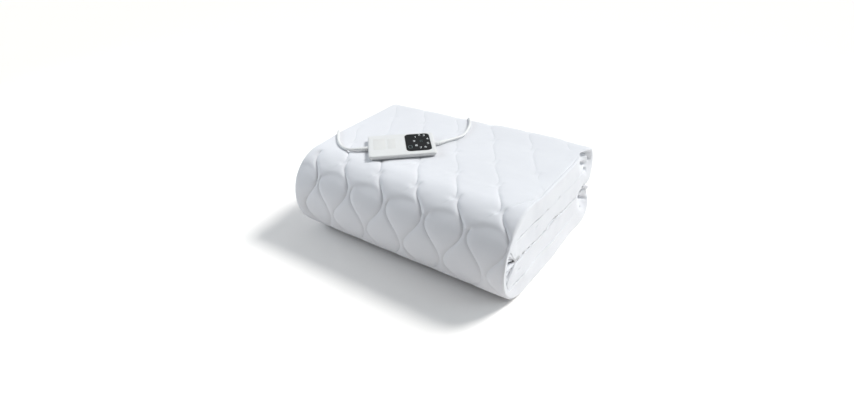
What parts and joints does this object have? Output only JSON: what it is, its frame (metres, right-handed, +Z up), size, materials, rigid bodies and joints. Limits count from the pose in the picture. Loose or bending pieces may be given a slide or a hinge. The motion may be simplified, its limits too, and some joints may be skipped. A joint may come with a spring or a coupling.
{
  "type": "electric heated blanket",
  "caption": "Thick quilted white heated blanket folded into a block, with a handset lying on top, its lead into the hem, and a mains lead coiled behind.",
  "frame": {"origin": "bottom centre of the folded blanket, on the surface it rests on", "axes": "+X along the long rounded front edge, to the right; -Y towards the rounded front; +Z up"},
  "size_m": [0.5392, 0.4992, 0.181],
  "materials": {
    "quilted_cloth": "matte quilted polyester",
    "handset_white": "satin moulded",
    "panel_black": "gloss",
    "cord_white": "satin soft sheath",
    "tie_white": "woven band",
    "pin_metal": "nickel-plated"
  },
  "bodies": {
    "root": {"blanket": "quilted_cloth", "handset_housing": "handset_white", "handset_panel": "panel_black", "mains_relief": "cord_white", "blanket_relief": "cord_white", "mains_lead": "cord_white", "blanket_lead": "cord_white", "blanket_inlet_sleeve": "cord_white", "mains_lead_coil": "cord_white", "mains_lead_tail": "cord_white", "mains_lead_tie": "tie_white", "plug_sleeve": "cord_white", "plug_body": "cord_white", "plug_pin_near": "pin_metal", "plug_pin_far": "pin_metal"}
  },
  "joints": []
}
